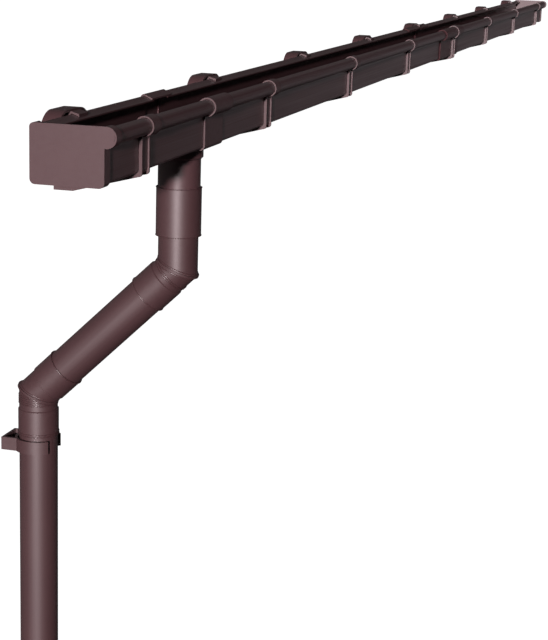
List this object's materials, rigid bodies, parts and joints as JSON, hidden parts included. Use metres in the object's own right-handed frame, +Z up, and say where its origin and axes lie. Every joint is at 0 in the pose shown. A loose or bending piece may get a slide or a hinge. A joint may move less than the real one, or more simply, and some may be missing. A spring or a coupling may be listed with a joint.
{
  "type": "gutter run with downpipe",
  "caption": "Square-section rain gutter with round front bead, clip-on fascia brackets, end caps, union and outlet, and a swan-neck round downpipe with wall clip.",
  "frame": {"origin": "on the floor under the middle of the box round the assembly, which lies on its back on the tops of its bracket backs and on the lower elbow", "axes": "+X along the gutter away from the downpipe end, +Z up from the floor, +Y roughly the way the gutter opens; the hung assembly is turned back by 90 degrees and 21.83 more about X"},
  "size_m": [4.5288, 2.4604, 0.8182],
  "materials": {
    "gutter_plastic": "satin chocolate-brown extruded plastic",
    "fitting_plastic": "satin chocolate-brown moulded plastic",
    "pipe_plastic": "satin chocolate-brown extruded pipe"
  },
  "bodies": {
    "root": {"end_cap_left": "fitting_plastic", "gutter_length_left": "gutter_plastic", "outlet_saddle": "fitting_plastic", "gutter_length_middle": "gutter_plastic", "gutter_union": "fitting_plastic", "gutter_length_right": "gutter_plastic", "end_cap_right": "fitting_plastic", "bracket_1": "fitting_plastic", "bracket_2": "fitting_plastic", "bracket_3": "fitting_plastic", "bracket_4": "fitting_plastic", "bracket_5": "fitting_plastic", "bracket_6": "fitting_plastic", "bracket_7": "fitting_plastic", "bracket_8": "fitting_plastic", "pipe_coupling": "fitting_plastic", "elbow_upper": "fitting_plastic", "offset_pipe": "pipe_plastic", "elbow_lower": "fitting_plastic", "downpipe": "pipe_plastic", "pipe_clip": "fitting_plastic"}
  },
  "joints": []
}
